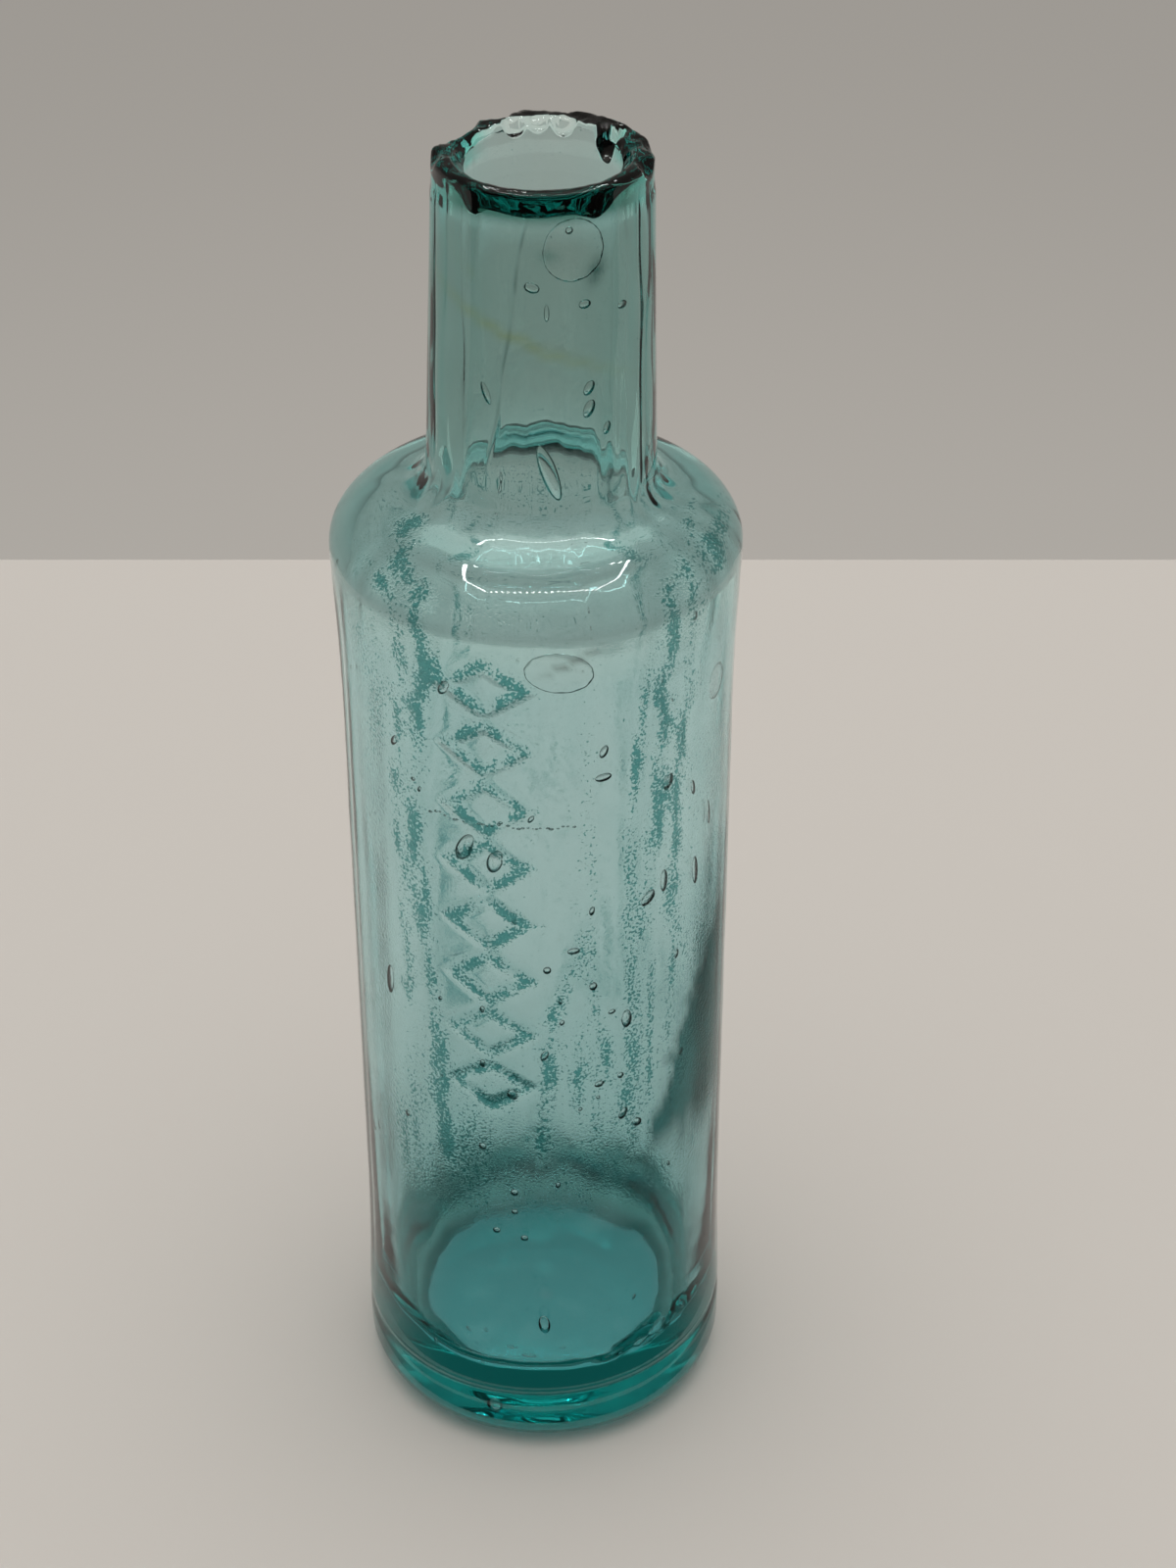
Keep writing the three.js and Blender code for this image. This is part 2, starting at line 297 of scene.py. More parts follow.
class BottleShape(bpy.types.PropertyGroup):
    """Outline of the bottle, outside and inside."""

    heel_radius: length("Heel radius", "Outside of the base above its rounding", BASE_HIGH.x)
    heel_rounding: length("Heel rounding", "Rounding between the foot and the body", 4 * MM)
    foot_width: length("Foot ring width", "Flat ring that the bottle stands on", 1.5 * MM)
    push_up: length("Push-up", "Depth of the hollow under the base", 0.4 * MM)
    waist_radius: length("Waist radius", "Outside of the body at its waist", 19 * MM)
    flare: length("Heel flare length", "Stretch that draws in from the heel to the waist", 22 * MM)
    bulge: length("Shoulder bulge length", "Stretch that swells from the waist to the shoulder", 24 * MM)
    shoulder_rounding: length("Shoulder rounding", "Rounding of the shoulder's outer edge", 5.8 * MM)
    shoulder_slope: degrees("Shoulder slope", "Rise of the shoulder towards the neck", 13.7)
    neck_fillet: length("Neck fillet", "Rounding where the neck meets the shoulder", 3 * MM)
    neck_top_radius: length("Neck top radius", "Outside of the neck below the lip", 10 * MM)
    lip_rounding: length("Lip rounding", "Softened outer edge of the lip", 0.7 * MM)
    lip_dip: length("Lip dip", "How far the broken edge dips below its highest point", 0.3 * MM)
    cavity_radius: length("Cavity radius", "Inside of the body", 17.4 * MM)
    low_radius: length("Low cavity radius", "Inside of the body where it meets the floor", 16.7 * MM)
    taper_height: length("Taper height", "Height below which the inside draws in", 42 * MM)
    floor_height: length("Floor height", "Foot to the floor inside", BASE_HIGH.z)
    floor_rounding: length("Floor rounding", "Rounding between the floor and the wall inside", 3 * MM)
    back_rounding: length("Back rounding", "How much more of it there is towards the back", 3 * MM)
    heel_seam: length("Heel seam", "Height of the mould seam round the heel", 8 * MM)
    roof_height: length("Roof height", "Foot to the corner between the wall and the roof inside", 103 * MM)
    roof_slope: degrees("Roof slope", "Rise of the roof inside towards the bore", 13.2)
    roof_rounding: length("Roof rounding", "Rounding between the wall and the roof inside", 4 * MM)
    bore_root_radius: length("Bore root radius", "Inside of the neck at its root", 7.7 * MM)
    bore_fillet: length("Bore fillet", "Rounding of the glass round the lower end of the bore", 7 * MM)
    bore_top_radius: length("Bore top radius", "Inside of the neck at the lip", 6.95 * MM)
    mouth_radius: length("Mouth radius", "Inside of the lip below its broken edge", 7 * MM)
    mouth_flare: length("Mouth flare", "Height over which the bore widens to the mouth", 5 * MM)
    break_width: length("Break width", "Mean width of the slope that the break leaves", 1 * MM)
    break_offset: length("Break offset", "How much wider that slope is at its widest place", 0.85 * MM)
    break_slope: degrees("Break slope", "Fall of that slope towards the mouth", 48)
    break_place: degrees("Break place", "Widest place, from the front to the right", -4)


class BottleRelief(bpy.types.PropertyGroup):
    """Column of raised lozenges up the front of the body."""

    angle: degrees("Angle", "Column's place round the body, from the front to the right", -14)
    low: length("Lowest mark", "Height of the middle of the lowest lozenge", 50 * MM)
    pitch: length("Pitch", "Distance from one lozenge to the next", 6.6 * MM)
    count: bpy.props.IntProperty(name="Count", description="Lozenges in the column", default=8, min=0)
    half_width: length("Half width", "Half the width of a lozenge", 3.7 * MM)
    half_height: length("Half height", "Half the height of a lozenge", 2.6 * MM)
    stroke: length("Stroke", "Half the width of the raised line", 0.6 * MM)
    height: length("Height", "How far the line stands out", 0.26 * MM)


class BottleGlass(bpy.types.PropertyGroup):
    """Glass and its flaws."""

    absorption: colour("Absorption tint", "Light that the glass lets through", (0.0, 0.815, 0.808))
    density: bpy.props.FloatProperty(
        name="Density", description="Absorption per metre of glass", default=106.0, min=0.0)
    seeds: bpy.props.IntProperty(
        name="Seeds", description="Small bubbles strewn in the wall", default=90, min=0)


class BottleStage(bpy.types.PropertyGroup):
    """Table, surround, light and camera."""

    floor_colour: colour("Floor colour", "Pale table top", (0.73, 0.72, 0.715))
    surround_colour: colour("Surround colour", "Soft grey surround", (1.0, 0.94, 0.86))
    surround: bpy.props.FloatProperty(name="Surround", description="Brightness of the surround", default=0.34)
    ceiling: bpy.props.FloatProperty(name="Ceiling", description="Brightness of the ceiling", default=1.55)
    upper_room: bpy.props.FloatProperty(
        name="Upper room", description="Brightness above the horizon as glass shows it", default=0.18)
    # Painted light: a glowing pad under the foot stands in for light reaching the table through the glass
    painted_light_glow: bpy.props.FloatProperty(
        name="Pad glow", description="Brightness of the pad under the foot", default=0.29)
    pad_drop: length("Pad drop", "Foot to the pad under it", 0.08 * MM)
    table_drop: length("Table drop", "Foot to the table under it", 0.12 * MM)
    table_half: length("Table half width", "From the bottle's axis to the table's sides", 180 * MM)
    table_back: length("Table back", "From the bottle's axis to the table's back edge", 176 * MM)
    card_distance: length("Card distance", "Dark card in front of the bottle's axis", 45 * MM)
    card_colour: colour("Card colour", "Dark card that the front of the glass reflects", (0.05, 0.05, 0.05))
    # The dark mat is painted shade that only reflections see
    mat_edge: length("Mat edge", "From the bottle's axis to the inner edge of the dark mat", 22.5 * MM)
    gap_start: length("Gap start", "From the bottle's axis to the pale gap in the dark mat", 25 * MM)
    gap_end: length("Gap end", "From the bottle's axis to the far side of that gap", 27.6 * MM)
    mat_reach: length("Mat reach", "From the bottle's axis to the outer edge of the dark mat", 110 * MM)
    mat_left: degrees("Mat left end", "Where the dark mat ends, from the front to the left", 95)
    mat_right: degrees("Mat right end", "Where it ends at the foot, from the front to the right", 105)
    mat_far: degrees("Mat far end", "Where it ends on the right at its outer edge", 170)
    mat_fade: degrees("Mat fade", "Stretch over which the dark mat fades out at each end", 55)
    camera_side: length("Camera side", "Camera to the right of the bottle's axis", 4.9 * MM)
    camera_distance: length("Camera distance", "Camera in front of the bottle's axis", 243.6 * MM)
    camera_height: length("Camera height", "Camera above the table", 236 * MM)
    camera_pitch: degrees("Camera pitch", "Camera looking down", 33.73)
    lens: bpy.props.FloatProperty(name="Lens", description="Focal length in millimetres", default=67.5)


def corner_profile(mesh, corners):
    """A line of edges through (radius, height, rounding) corners, each rounded to an arc of its radius."""
    points = [mesh.verts.new((radius, 0, height)) for radius, height, _ in corners]
    for low, high in zip(points, points[1:]):
        mesh.edges.new((low, high))
    places = [Vector((radius, height)) for radius, height, _ in corners]
    for index in range(1, len(corners) - 1):
        rounding = corners[index][2]
        if not rounding:
            continue
        before = places[index] - places[index - 1]
        after = places[index + 1] - places[index]
        turn = before.angle(after)
        bmesh.ops.bevel(
            mesh, geom=[points[index]], offset=rounding * math.tan(turn / 2), offset_type="OFFSET",
            segments=max(3, math.ceil(turn / math.radians(6))), profile=0.5, affect="VERTICES", material=-1)


def profile_step(middle, shape):
    """Longest edge that the profile may have at a place, finer where the surface has more to show."""
    if middle.z > LIP_LOW.z - 1 * MM:
        return LIP_STEP
    if middle.x > shape.waist_radius - 0.3 * MM:
        return SEAM_STEP if abs(middle.z - shape.heel_seam) < 2 * MM else BODY_STEP
    if middle.z > BODY_HIGH.z:
        return NECK_STEP
    return INSIDE_STEP


def split_edges(mesh, shape):
    """Cuts every edge that is longer than the step at its place into equal parts."""
    by_cuts = {}
    for edge in mesh.edges:
        middle = (edge.verts[0].co + edge.verts[1].co) / 2
        by_cuts.setdefault(math.ceil(edge.calc_length() / profile_step(middle, shape)) - 1, []).append(edge)
    for cuts, edges in by_cuts.items():
        if cuts > 0:
            bmesh.ops.subdivide_edges(mesh, edges=edges, cuts=cuts)


def profile_line(mesh):
    """The profile's vertices in order, from the end under the base to the end on the floor inside."""
    ends = [vertex for vertex in mesh.verts if len(vertex.link_edges) == 1]
    line = [min(ends, key=lambda vertex: vertex.co.z)]
    before = None
    while len(line) < len(mesh.verts):
        ahead = [edge.other_vert(line[-1]) for edge in line[-1].link_edges]
        step = next(vertex for vertex in ahead if vertex is not before)
        before = line[-1]
        line.append(step)
    return line


def outer_corners(shape):
    """Outside of the bottle from the middle of the base up to the lip."""
    foot_radius = shape.heel_radius - shape.heel_rounding
    hollow_radius = foot_radius - shape.foot_width
    shoulder_radius = BODY_HIGH.x
    slope = shape.shoulder_slope
    shoulder_corner = BODY_HIGH.z + shape.shoulder_rounding * math.tan((math.pi / 2 - slope) / 2)
    neck_corner = shoulder_corner + (shoulder_radius - NECK_RADIUS) * math.tan(slope)
    flare_corner = BASE_HIGH.z + shape.flare / 2
    bulge_corner = BODY_HIGH.z - shape.bulge / 2
    long_curve = 250 * MM
    return [
        (0, shape.push_up, 0),
        (hollow_radius / 2, shape.push_up, 15 * MM),
        (hollow_radius, 0, 4 * MM),
        (shape.heel_radius, 0, shape.heel_rounding),
        (shape.heel_radius, BASE_HIGH.z, 60 * MM),
        (shape.waist_radius, flare_corner, long_curve),
        (shape.waist_radius, bulge_corner, long_curve),
        (shoulder_radius, BODY_HIGH.z, 40 * MM),
        (shoulder_radius, shoulder_corner, shape.shoulder_rounding * 0.98),
        (NECK_RADIUS, neck_corner, shape.neck_fillet),
        (shape.neck_top_radius, LIP_LOW.z, 4 * MM),
        (LIP_RADIUS, LIP_LOW.z + 1.5 * MM, 2 * MM),
        (LIP_RADIUS, LIP_HIGH.z, shape.lip_rounding),
    ]


def inner_corners(shape):
    """Inside of the bottle from the lip down to the middle of the floor."""
    roof_width = shape.cavity_radius - shape.bore_root_radius
    bore_corner = shape.roof_height + roof_width * math.tan(shape.roof_slope)
    return [
        (shape.mouth_radius, LIP_HIGH.z, 0.3 * MM),
        (shape.bore_top_radius, LIP_HIGH.z - shape.mouth_flare, 3 * MM),
        (shape.bore_root_radius, bore_corner, shape.bore_fillet),
        (shape.cavity_radius, shape.roof_height, shape.roof_rounding),
        (shape.cavity_radius, shape.taper_height, 120 * MM),
        (shape.low_radius, shape.floor_height, shape.floor_rounding),
        (0, shape.floor_height, 0),
    ]


def front_angle(place):
    """Angle round the axis, zero at the front and growing to the right."""
    return math.atan2(place.x, -place.y)


def angle_between(angle, other):
    """Smallest difference of two angles."""
    return (angle - other + math.pi) % FULL_TURN - math.pi


def hill(distance, half_width):
    """Smooth hill of height one."""
    return math.exp(-(distance / half_width) ** 2)


def smooth_step(value, low, high):
    """Zero below low, one above high, with a smooth rise between them."""
    share = min(1.0, max(0.0, (value - low) / (high - low)))
    return share * share * (3 - 2 * share)


def window(value, low, full, fading, high):
    """One from full to fading, with a smooth rise from low and a smooth fall to high."""
    return smooth_step(value, low, full) * (1 - smooth_step(value, fading, high))


def angle_window(angle, *places):
    """The same for an angle and places in degrees."""
    return window(angle, *(math.radians(place) for place in places))


def shaded(tint, share):
    """White with that share of a tint."""
    return Vector((1, 1, 1)).lerp(Vector(tint), share)


def wander(angle, height, around, along):
    """Smooth noise wrapped round the axis, with that many features to a radian and along a metre."""
    return noise.noise((around * math.cos(angle), around * math.sin(angle), height * along))


def waves(angle, height, layers):
    """Sum of layers of smooth noise, each with its amount."""
    return sum(amount * wander(angle, height, around, along) for amount, around, along in layers)


def lozenge_relief(angle, height, relief, radius):
    """Height of the raised lozenges at a place on the body."""
    across = radius * angle_between(angle, relief.angle)
    number = min(relief.count - 1, max(0, round((height - relief.low) / relief.pitch)))
    along = height - relief.low - number * relief.pitch
    reach = abs(across) / relief.half_width + abs(along) / relief.half_height - 1
    slant = relief.half_width * relief.half_height / math.hypot(relief.half_width, relief.half_height)
    return relief.height * hill(reach * slant, relief.stroke)


def climb(radius, height):
    """Distance up the wall from the foot, and on over the shoulder."""
    if height < BODY_HIGH.z:
        return height
    return BODY_HIGH.z + math.hypot(BODY_HIGH.x - radius, height - BODY_HIGH.z)


def vein_share(angle, radius, height):
    """How near a place is to a vein, from nought to one in its middle."""
    share = 0.0
    way = climb(radius, height) / MM
    for half, strength, places in VEINS:
        if not places[-1][1] < way < places[0][1]:
            continue
        above, below = next(pair for pair in zip(places, places[1:]) if pair[1][1] <= way)
        slope = math.radians(above[0] - below[0]) / (above[1] - below[1])
        wavering = 1.4 * noise.noise((below[0], way * 0.4, 0)) + 0.7 * noise.noise((above[0], way * 1.3, 1))
        middle = math.radians(below[0]) + slope * (way - below[1]) + math.radians(wavering)
        across = radius * angle_between(angle, middle) / math.hypot(1, slope * radius / MM)
        ends = window(way, places[-1][1], places[-1][1] + 4, places[0][1] - 1.5, places[0][1])
        breadth = half * MM * (1 + 0.7 * noise.noise((half, way * 0.5, above[0])))
        strand = 0.75 + 0.7 * noise.noise((across / (0.8 * MM), way * 0.2, above[0]))
        share = max(share, strength * ends * strand * hill(across, breadth))
    return share


def pebbling_and_shade(angle, radius, height, relief, waist):
    """How pebbled the outside is at a place, from nought to one; this also sets how thick the painted dark
    specks of shade lie.
    """
    veins = max(0.0, vein_share(angle, radius, height)) ** 0.6
    marks = (lozenge_relief(angle, height, relief, waist) / relief.height) ** 0.6
    ragged = max(0.2, 0.78 + 0.75 * wander(angle, height, 16, 180))
    body = smooth_step(height, BASE_HIGH.z, BASE_HIGH.z + 8 * MM)
    low = window(height, 28 * MM, 38 * MM, 38 * MM, 66 * MM)
    sides = smooth_step(abs(angle), math.radians(25), math.radians(50))
    patchy = 0.35 + 0.65 * smooth_step(wander(angle, height, 2.5, 40), -0.3, 0.4)
    sides *= smooth_step(height, 28 * MM, 46 * MM)
    grain = angle_window(angle, 8, 20, 44, 54) * window(height, 36 * MM, 42 * MM, 84 * MM, 98 * MM)
    grain *= smooth_step(wander(angle, height, 15, 22), -0.35, 0.25)
    sparse = 0.06 + max(0.5 * patchy * max(low, 0.7 * sides), 0.62 * grain)
    wall = 1 - smooth_step(height, BODY_HIGH.z - 3 * MM, BODY_HIGH.z + 3 * MM)
    return body * min(1.0, max(veins, marks * 0.9, sparse * wall) * ragged)


def line_angle(line, height):
    """Angle of a drawn line at a height, with its wavering."""
    root, top, low, high, _, _ = line
    share = (height / MM - low) / (high - low)
    return math.radians(root + (top - root) * share + 3 * noise.noise((root, height * 130, 2)))


def drawn_lines(angle, height):
    """Depth of the thin lines drawn up the neck."""
    depth = 0.0
    for line in DRAWN_LINES:
        _, _, low, high, deep, half = line
        share = (height / MM - low) / (high - low)
        ends = window(share, 0, 0.1, 0.9, 1)
        across = NECK_RADIUS * angle_between(angle, line_angle(line, height))
        depth += ends * deep * MM * hill(across, half * MM)
    return depth


def thread_strength(height):
    """How dark the painted shade along the drawn lines is at a height: it comes and goes."""
    return 0.15 + 0.65 * smooth_step(noise.noise((7, height * 260, 0)), -0.25, 0.25)


def stain(angle, height, radius):
    """Tint that light takes at a place."""
    tint = Vector((1, 1, 1))
    for place, middle, long, wide, lean, shade in STAINS:
        across = radius * angle_between(angle, math.radians(place))
        up = height - middle * MM
        turn = math.radians(lean)
        along = across * math.sin(turn) - up * math.cos(turn)
        beside = across * math.cos(turn) + up * math.sin(turn)
        beside += 0.3 * MM * noise.noise((along * 500, place, 0))
        share = hill(along, long * MM) * hill(beside, wide * MM)
        tint = tint.lerp(Vector(shade), share)
    return tint


def painted_floor_shade(place):
    """Share of the painted shade low inside towards the back of the floor, fading out higher up with a ragged
    edge.
    """
    back = smooth_step(place.y, -13 * MM, 17 * MM)
    ragged = 2.5 * MM * wander(front_angle(place), place.z, 9, 250)
    return back * (1 - smooth_step(place.z + ragged, 10 * MM, 19 * MM))


def mould_seam(angle):
    """How near a place is to a seam of the mould, from nought to one on it."""
    return max(hill(angle_between(angle, math.radians(place)), math.radians(1.6)) for place in MOULD_SEAMS)


def rim_shade(angle, height):
    """Share of the greener tint at the sides of the lip."""
    side = angle_window(abs(angle), 35, 65, 120, 145)
    return side * smooth_step(height, LIP_LOW.z, LIP_LOW.z + 1.5 * MM)


def patch_shade_share(angle, height):
    """Share of the painted shade low on the right, with a ragged edge that slants back as it climbs."""
    rise = max(0.0, height / MM - 36)
    ragged = 3 * wander(0, height, 1, 160) + 4 * wander(angle, height, 14, 420)
    edge = 33 + 0.045 * rise * rise + ragged
    across = angle_window(angle, edge, edge + 5, 64, 92)
    uneven = height + 2 * MM * wander(angle, height, 12, 200)
    return across * smooth_step(uneven, 35 * MM, 42 * MM) * (1 - smooth_step(height, 60 * MM, 70 * MM))


def outside_tint_and_painted_shade(angle, height, radius):
    """Tints over the outside: partly the glass's own, partly painted shade, and the tint of painted light
    under the foot.
    """
    # Painted shade round the heel, just above the foot
    tint = shaded(HEEL_SHADE_TINT, hill(height - 3.6 * MM, 1.8 * MM))
    # Under the foot, a tint for the painted light of the glowing pad seen through it
    under = (1 - smooth_step(height, 0.5 * MM, 1 * MM)) * (1 - smooth_step(radius, 14.5 * MM, 15.3 * MM))
    tint = tint.lerp(Vector(PAINTED_UNDER_LIGHT_TINT), under)
    back = smooth_step(abs(angle), math.radians(80), math.radians(120))
    neck = smooth_step(height, NECK_LOW.z - 3 * MM, NECK_LOW.z + 2 * MM)
    neck *= 1 - smooth_step(height + 8 * MM * back, LIP_LOW.z - 1 * MM, LIP_LOW.z + 2 * MM)
    tint = tint.lerp(Vector(NECK_TINT), neck)
    # Painted shade in the band at the front of the lip
    front = 1 - smooth_step(abs(angle), math.radians(45), math.radians(75))
    lip = front * smooth_step(height, LIP_LOW.z + 0.3 * MM, LIP_LOW.z + 1.8 * MM)
    tint = tint.lerp(Vector(LIP_SHADE_TINT), lip)
    tint *= shaded(RIM_TINT, rim_shade(angle, height))
    body = window(height, BASE_HIGH.z, BASE_HIGH.z + 6 * MM, BODY_HIGH.z - 6 * MM, BODY_HIGH.z)
    tint = tint.lerp(Vector(BODY_TINT), body)
    # Painted shade along the seams of the mould
    tint *= shaded(SEAM_SHADE_TINT, body * mould_seam(angle))
    low = body * (1 - smooth_step(height, 22 * MM, 52 * MM))
    tint *= shaded(LOW_TINT, low)
    # Painted shade in the dark patch low on the right
    return tint * shaded(PATCH_SHADE_TINT, patch_shade_share(angle, height))


def crook(height):
    """Sideways place of the glass at a height: the neck stands off the body's axis and leans."""
    root = (NECK_LOW.x + NECK_HIGH.x) / 2
    top = (LIP_LOW.x + LIP_HIGH.x) / 2
    lean = max(0.0, (height - NECK_LOW.z) / (LIP_HIGH.z - NECK_LOW.z))
    return root * smooth_step(height, BODY_HIGH.z + 1.5 * MM, NECK_LOW.z) + (top - root) * lean


def broken_top(angle, radius, shape):
    """Height of the broken lip at an angle and a radius, with its dip, its slope to the mouth and flakes."""
    turn = angle - math.radians(LIP_HIGH_PLACE)
    top = LIP_HIGH.z - shape.lip_dip * (2 - math.cos(turn) - math.cos(3 * turn)) / 4
    ridge = shape.mouth_radius + shape.break_width + shape.break_offset * math.cos(angle - shape.break_place)
    fall = math.tan(shape.break_slope)
    for place, half, steeper in DEEP_BREAKS:
        fall *= 1 + steeper * hill(angle_between(angle, math.radians(place)), math.radians(half))
    top -= fall * max(0.0, ridge - max(radius, shape.mouth_radius))
    for chip_angle, edge, width, reach, depth in CHIPS:
        rim = shape.mouth_radius if edge == "inner" else LIP_RADIUS
        across = rim * angle_between(angle, math.radians(chip_angle)) / (width * MM / 2)
        inward = (radius - rim) / (reach * MM)
        inside = 1 - across * across - inward * inward
        if inside > 0:
            top = min(top, LIP_HIGH.z - depth * MM * math.sqrt(inside))
    return top


def burst_edge(place, shape):
    """Lowers a point of the lip to the broken edge, with fine ripples that are stronger at the back."""
    share = (place.z - LIP_LOW.z) / (LIP_HIGH.z - LIP_LOW.z)
    if share <= 0:
        return
    angle = front_angle(place)
    top = broken_top(angle, math.hypot(place.x, place.y), shape)
    place.z = LIP_LOW.z + share * (top - LIP_LOW.z)
    ripple = noise.noise(place / RIPPLE_SPACING) + 0.5 * noise.noise(place / FINE_RIPPLE_SPACING)
    back = 0.3 + 0.7 * smooth_step(abs(angle), math.radians(60), math.radians(130))
    place.z -= RIPPLE_DEPTH * back * share * share * abs(ripple)


class BOTTLE_OT_vessel(bpy.types.Operator):
    """Turns the outline of the glass and gives it its crooked neck, burst lip, uneven wall and bubbles"""

    bl_idname = "bottle.vessel"
    bl_label = "Glass vessel"

    def execute(self, context):
        shape = context.scene.bottle_shape
        mesh = bmesh.new()
        corner_profile(mesh, outer_corners(shape) + inner_corners(shape))
        split_edges(mesh, shape)
        inner = mesh.verts.layers.float.new("inner")
        line = profile_line(mesh)
        mouth = max(index for index, vertex in enumerate(line) if vertex.co.z > LIP_HIGH.z - 0.3 * MM)
        for vertex in line[mouth:]:
            vertex[inner] = 1
        outline = [vertex.co.copy() for vertex in line[:mouth]]
        bmesh.ops.spin(
            mesh, geom=mesh.verts[:] + mesh.edges[:], cent=(0, 0, 0), axis=(0, 0, 1), dvec=(0, 0, 0),
            angle=FULL_TURN, steps=TURN_STEPS, use_merge=True)
        bmesh.ops.remove_doubles(mesh, verts=mesh.verts[:], dist=0.002 * MM)
        bmesh.ops.recalc_face_normals(mesh, faces=mesh.faces[:])
        self.refine_relief(mesh, context.scene, inner)
        self.refine_lines(mesh, inner)
        self.shape_wall(mesh, context.scene, inner)
        self.add_bubbles(mesh, context.scene.bottle_glass, outline)
        for face in mesh.faces:
            face.smooth = True
        data = bpy.data.meshes.new("glass_vessel")
        mesh.to_mesh(data)
        mesh.free()
        vessel = bpy.data.objects.new("glass_vessel", data)
        context.scene.collection.objects.link(vessel)
        vessel.data.materials.append(aqua_glass(context.scene.bottle_glass))
        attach(vessel, "root")
        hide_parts("base", "body", "shoulder", "neck", "lip")
        return {"FINISHED"}

    def refine_relief(self, mesh, scene, inner):
        """Doubles the mesh where the raised marks stand."""
        relief = scene.bottle_relief
        half = (relief.half_width + 2.5 * relief.stroke) / scene.bottle_shape.waist_radius
        low = relief.low - relief.pitch
        high = relief.low + relief.count * relief.pitch
        edges = set()
        for face in mesh.faces:
            middle = face.calc_center_median()
            near = abs(angle_between(front_angle(middle), relief.angle)) < half and low < middle.z < high
            if near and face.verts[0][inner] < 0.5:
                edges.update(face.edges)
        bmesh.ops.subdivide_edges(mesh, edges=list(edges), cuts=1, use_grid_fill=True)

    def refine_lines(self, mesh, inner):
        """Makes the mesh three times as fine along the lines drawn up the neck."""
        edges = set()
        for face in mesh.faces:
            middle = face.calc_center_median()
            if middle.z < BODY_HIGH.z or face.verts[0][inner] > 0.5:
                continue
            for line in DRAWN_LINES:
                across = NECK_RADIUS * angle_between(front_angle(middle), line_angle(line, middle.z))
                if abs(across) < 3 * line[5] * MM and line[2] * MM < middle.z < line[3] * MM:
                    edges.update(face.edges)
        bmesh.ops.subdivide_edges(mesh, edges=list(edges), cuts=2, use_grid_fill=True)

    def shape_wall(self, mesh, scene, inner):
        """Gives the turned wall its relief, its uneven inside, its burst lip, its crook, its stains and
        tints, and painted shade.
        """
        shape = scene.bottle_shape
        relief = scene.bottle_relief
        # How pebbled the outside is, which also sets the painted dark specks of shade
        pebble_and_shade = mesh.verts.layers.float.new("pebble_and_shade")
        # The stain attribute holds real stains, the glass's own tints, painted shade and the tint of painted
        # light
        tint = mesh.verts.layers.float_color.new("stain")
        for vertex in mesh.verts:
            place = vertex.co
            radius = math.hypot(place.x, place.y)
            vertex[tint] = (1, 1, 1, 1)
            if radius > 0.1 * MM:
                angle = front_angle(place)
                if vertex[inner] > 0.5:
                    radius, place.z = self.round_floor(angle, radius, place.z, shape)
                    move = self.inner_unevenness(angle, place.z, radius)
                    # Painted shade low inside towards the back of the floor
                    vertex[tint] = (*shaded(PAINTED_FLOOR_SHADE_TINT, painted_floor_shade(place)), 1)
                else:
                    move = self.outer_unevenness(angle, place.z, radius, shape)
                    move += lozenge_relief(angle, place.z, relief, shape.waist_radius)
                    drawn = drawn_lines(angle, place.z)
                    move -= drawn
                    vertex[pebble_and_shade] = pebbling_and_shade(angle, radius, place.z, relief, shape.waist_radius)
                    shade = stain(angle, place.z, radius) * outside_tint_and_painted_shade(angle, place.z, radius)
                    # Painted shade along the lines drawn up the neck
                    shade *= shaded(LINE_SHADE_TINT, thread_strength(place.z) * min(1.0, drawn / (0.1 * MM)))
                    vertex[tint] = (*shade, 1)
                    move = min(move, BODY_HIGH.x - radius)
                place.xy = place.xy.normalized() * (radius + move)
            if vertex[inner] > 0.5:
                place.z += self.floor_waves(place)
            burst_edge(place, shape)
            place.x += crook(place.z)

    def round_floor(self, angle, radius, height, shape):
        """Rounds the floor's corner more and more towards the back."""
        rounding = shape.floor_rounding
        rounding += shape.back_rounding * smooth_step(abs(angle), math.radians(20), math.radians(150))
        across = radius - (shape.low_radius - rounding)
        down = shape.floor_height + rounding - height
        away = math.hypot(across, down)
        if across <= 0 or down <= 0 or away < rounding:
            return radius, height
        share = rounding / away - 1
        return radius + share * across, height - share * down

    def floor_waves(self, place):
        """Soft waves on the floor inside, which rises towards the wall at the sides and the back."""
        level = 1 - smooth_step(place.z, BASE_HIGH.z + 1 * MM, BASE_HIGH.z + 6 * MM)
        wave = FLOOR_WAVE * noise.noise((place.x / FLOOR_WAVE_SPACING, place.y / FLOOR_WAVE_SPACING, 0))
        away = smooth_step(abs(front_angle(place)), math.radians(25), math.radians(80))
        return level * (wave + FLOOR_RISE * away * (math.hypot(place.x, place.y) / FLOOR_RISE_RADIUS) ** 3)

